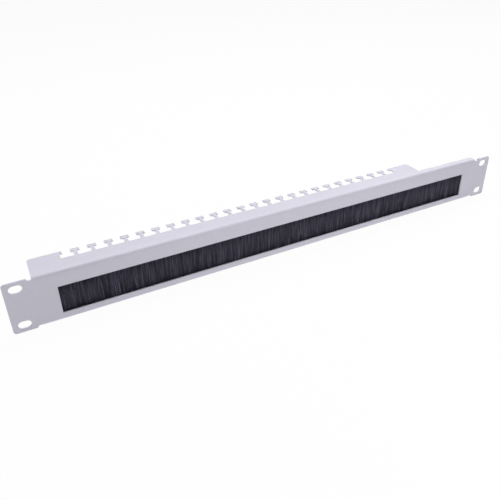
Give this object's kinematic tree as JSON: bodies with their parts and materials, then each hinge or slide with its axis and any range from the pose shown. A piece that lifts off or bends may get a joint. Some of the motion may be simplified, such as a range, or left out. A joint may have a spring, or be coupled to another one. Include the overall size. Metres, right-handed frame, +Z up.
{
  "type": "rack cable entry panel",
  "caption": "One-unit rack panel of folded sheet steel with a brushed cable window and a rear tray ending in a comb of T-shaped tabs for cable ties.",
  "frame": {"origin": "middle of the four rack slots, on the rear face of the ears, which meets the rack's rails", "axes": "+X along the panel, +Y rearwards into the rack, +Z up"},
  "size_m": [0.4826, 0.1, 0.044],
  "materials": {
    "powder_coat": "light grey powder coat, satin, fine orange peel",
    "plated_studs": "copper-flashed weld studs, dull",
    "galvanised_strip": "galvanised, matt",
    "steel_wire": "drawn wire",
    "black_filament": "black nylon filaments",
    "zinc_plated_rail": "zinc plated sheet",
    "zinc_plated_washers": "zinc plated",
    "zinc_plated_nuts": "zinc plated"
  },
  "bodies": {
    "root": {"panel": "powder_coat", "weld_studs": "plated_studs", "brush_channel": "galvanised_strip", "core_wire": "steel_wire", "bristles": "black_filament", "clamp_rail": "zinc_plated_rail", "washers": "zinc_plated_washers", "nuts": "zinc_plated_nuts"}
  },
  "joints": []
}
